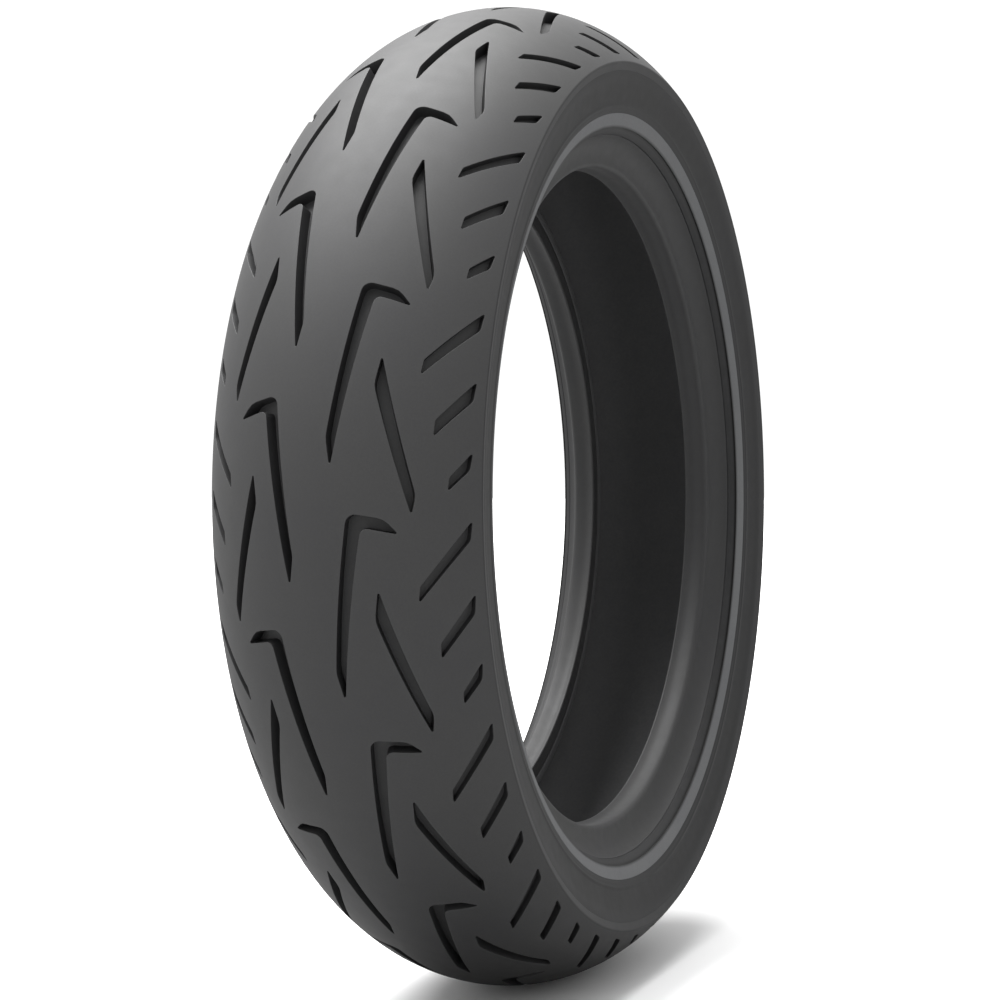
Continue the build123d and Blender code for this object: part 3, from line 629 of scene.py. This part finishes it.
def finishedSection(outline, arrisRound, spacing, hasRidge):
    # Places and outward normals along the section, with a mask that marks the rounded arrises
    shape = turnedShape
    rounded, mask = [], []
    for before, here, after in zip(outline[-1:] + outline[:-1], outline, outline[1:] + outline[:1]):
        bend = (here - before).angle(after - here)
        if bend > radians(shape["arrisAngle"]):
            room = min((before - here).length, (after - here).length) * 0.45
            arc = cornerArc(here, before, after, min(arrisRound, room / tan(bend / 2)), 30)
            rounded += arc
            mask += [1] * len(arc)
        else:
            rounded.append(here)
            mask.append(0)
    nextRounded, nextMask = rounded[1:] + rounded[:1], mask[1:] + mask[:1]
    tangents = []
    for before, here, after in zip(rounded[-1:] + rounded[:-1], rounded, nextRounded):
        first, second = here - before, after - here
        leaning = first.normalized() * second.length + second.normalized() * first.length
        tangents.append(leaning.normalized())
    places, placeMask = [], []
    for here, after, out, into, hereMask, afterMask in zip(rounded, nextRounded, tangents,
                                                           tangents[1:] + tangents[:1], mask, nextMask):
        run = (after - here).length
        fromRidge = abs((here.y + after.y) / 2 - shape["ridgeRadius"])
        nearRidge = hasRidge and fromRidge < shape["ridgeWidth"] + run / 2
        steps = ceil(run / (shape["ridgeStep"] if nearRidge else spacing))
        for t in (step / steps for step in range(steps)):
            places.append(here * ((1 + 2 * t) * (1 - t) ** 2) + out * (run * t * (1 - t) ** 2)
                          + after * (t * t * (3 - 2 * t)) - into * (run * t * t * (1 - t)))
            placeMask.append(hereMask * (1 - t) + afterMask * t)
    outermost = max(abs(place.x) for place in places)
    normals = sectionNormals(places)
    if hasRidge:
        for i, place in enumerate(places):
            off = abs(place.y - shape["ridgeRadius"]) / (shape["ridgeWidth"] / 2)
            # Only the outer face carries the ridge, not the side against the casing.
            if off < 1 and abs(place.x) > outermost - shape["ridgeReach"] and normals[i].x * place.x > 0:
                places[i] = place + normals[i] * (shape["ridgeHeight"] * (1 - off * off) ** 2)
    return places, sectionNormals(places), placeMask


def makeTurned(node, arrisRound, spacing=turnedShape["step"], hasRidge=False):
    # The finished section revolved about the axle
    places, normals, mask = finishedSection(cadSection(node), arrisRound, spacing, hasRidge)
    turn = np.arange(columns) * 2 * pi / columns
    outward = np.stack([np.cos(turn), 0 * turn, np.sin(turn)], 1)
    axial = np.array([0, 1, 0])
    points = np.concatenate([outward * place.y + axial * place.x for place in places])
    facing = np.concatenate([outward * normal.y + axial * normal.x for normal in normals])
    row = np.arange(len(places) * columns).reshape(-1, columns)
    nextRow = np.roll(row, -1, 0)
    quads = np.stack([row, np.roll(row, -1, 1), np.roll(nextRow, -1, 1), nextRow], -1).reshape(-1, 4)
    # Points near the band's inner edge take the painted shade colour.
    shadeLine = [abs(place.y - turnedShape["shadeLineRadius"]) < turnedShape["shadeLineWidth"] / 2 for place in places]
    return points, facing, (np.repeat(mask, columns), np.repeat(shadeLine, columns)), (quads,)


sidewallFinish = rubber("mouldedSidewallRubber")
bandFinish = rubber("greyCompoundRubber")
beadFinish = rubber("pressedBeadRubber")
for side in ("left", "right"):
    builtPiece("moulded_sidewall_" + side,
               *makeTurned("sidewall_" + side, turnedShape["sidewallArris"], hasRidge=True),
               sidewallFinish, "sidewall_rubber", "sidewall_" + side)
    builtPiece("grey_band_" + side, *makeTurned("sidewall_band_" + side, turnedShape["bandArris"]),
               bandFinish, "grey_rubber", "sidewall_band_" + side)
    builtPiece("bead_cushion_" + side, *makeTurned("rim_cushion_" + side, turnedShape["beadArris"]),
               beadFinish, "cushion_rubber", "rim_cushion_" + side)
builtPiece("air_liner", *makeTurned("inner_liner", turnedShape["linerArris"], turnedShape["linerStep"]),
           rubber("butylLinerRubber"), "liner_rubber", "inner_liner")

# The layers inside keep their CAD shapes.
keptFinishes = {
    "tread_base": rubber("calenderedBaseRubber"),
    "breaker": cordRubber("calenderedBreakerCord"),
    "carcass_ply": cordRubber("calenderedPlyCord"),
    "chafer": wovenFabric("wovenRubberedFabric"),
    "bead_wrap": wovenFabric("wovenWrapFabric"),
    "bead_filler": rubber("extrudedFillerRubber"),
    "bead_insulation": rubber("extrudedFillerRubber"),
    "bead_wires": drawnBronzedWire("drawnBronzedWire"),
}
for name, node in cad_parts.items():
    for beginning, finish in keptFinishes.items():
        if name.startswith(beginning):
            for materialSlot in range(len(node.data.materials)):
                node.data.materials[materialSlot] = finish
print("layers inside have their finishes")

# Plain white studio. Lengths are metres.
studio = {
    "floorSize": 400,
    "floor": "#f7f7f7",
    "floorBounce": "#a0a0a0",            # what the floor throws back on the tyre
    "key": (0.03, 0.27, 0.96),           # direction from the tyre to the soft key light
    "keyPower": 5.5,
    "keySize": 60,                       # degrees across the sky
    "bright": 1.3,                       # glow of the walls on the key's side
    "backdrop": 1.1,                     # how bright the walls look, past pure white
    "dim": 0.26,                         # glow of the walls on the other side
}
floorMesh = bpy.data.meshes.new("studio_floor")
reach = studio["floorSize"] / 2
floorMesh.from_pydata([(-reach, -reach, 0), (reach, -reach, 0), (reach, reach, 0), (-reach, reach, 0)],
                      [], [(0, 1, 2, 3)])
floorFinish, floorTree, floorShader = newMaterial("mattPaintedFloor", 1.45, 0, 0.9)
seen = addNode(floorTree, "ShaderNodeLightPath", {}).outputs["Is Camera Ray"]
paint = addNode(floorTree, "ShaderNodeMix", {"Factor": seen, 6: linear(studio["floorBounce"]),
                                             7: linear(studio["floor"])}, data_type="RGBA").outputs[2]
floorTree.links.new(paint, floorShader.inputs["Base Color"])
floorShader.inputs["Specular IOR Level"].default_value = 0
floorMesh.materials.append(floorFinish)
floor = bpy.data.objects.new("studio_floor", floorMesh)
floor.location.z = -overallRadius * mm
bpy.context.scene.collection.objects.link(floor)

keyWay = Vector(studio["key"]).normalized()
keyData = bpy.data.lights.new("soft_key", "SUN")
keyData.energy = studio["keyPower"]
keyData.angle = radians(studio["keySize"])
key = bpy.data.objects.new("soft_key", keyData)
key.rotation_mode = "QUATERNION"
key.rotation_quaternion = keyWay.to_track_quat("Z", "Y")
bpy.context.scene.collection.objects.link(key)

world = bpy.data.worlds.new("studio")
bpy.context.scene.world = world
world.use_nodes = True
sky = world.node_tree
sky.nodes.clear()
skyWay = addNode(sky, "ShaderNodeTexCoord", {}).outputs["Generated"]
towardsKey = addNode(sky, "ShaderNodeVectorMath", {0: skyWay, 1: keyWay},
                     operation="DOT_PRODUCT").outputs["Value"]
glow = addNode(sky, "ShaderNodeMapRange", {"Value": towardsKey, "From Min": -0.35, "From Max": 0.9,
                                           "To Min": studio["dim"], "To Max": studio["bright"]})
seen = addNode(sky, "ShaderNodeLightPath", {}).outputs["Is Camera Ray"]
strength = addNode(sky, "ShaderNodeMix", {"Factor": seen, 2: glow, 3: studio["backdrop"]},
                   data_type="FLOAT").outputs[0]
background = addNode(sky, "ShaderNodeBackground", {"Color": (1, 1, 1, 1), "Strength": strength})
addNode(sky, "ShaderNodeOutputWorld", {"Surface": background})
print("studio is lit")

# Camera level with the axle, round to the tread's side
camera = {
    "azimuth": -68.15, "elevation": 0.017, "distance": 0.9955,
    "aimRight": -0.0185, "aimUp": -0.00176,      # from the tyre's centre, across and up the view, in metres
    "lens": 69.59, "sensor": 36,
}
azimuth, elevation = radians(camera["azimuth"]), radians(camera["elevation"])
back = Vector((sin(azimuth) * cos(elevation), -cos(azimuth) * cos(elevation), sin(elevation)))
right = Vector((cos(azimuth), sin(azimuth), 0))
aim = right * camera["aimRight"] + back.cross(right) * camera["aimUp"]
cameraData = bpy.data.cameras.new("studio_camera")
cameraData.lens = camera["lens"]
cameraData.sensor_width = camera["sensor"]
studioCamera = bpy.data.objects.new("studio_camera", cameraData)
studioCamera.location = back * camera["distance"]
studioCamera.rotation_mode = "QUATERNION"
studioCamera.rotation_quaternion = (studioCamera.location - aim).to_track_quat("Z", "Y")
bpy.context.scene.collection.objects.link(studioCamera)
bpy.context.scene.camera = studioCamera
bpy.context.scene.view_settings.view_transform = "Standard"
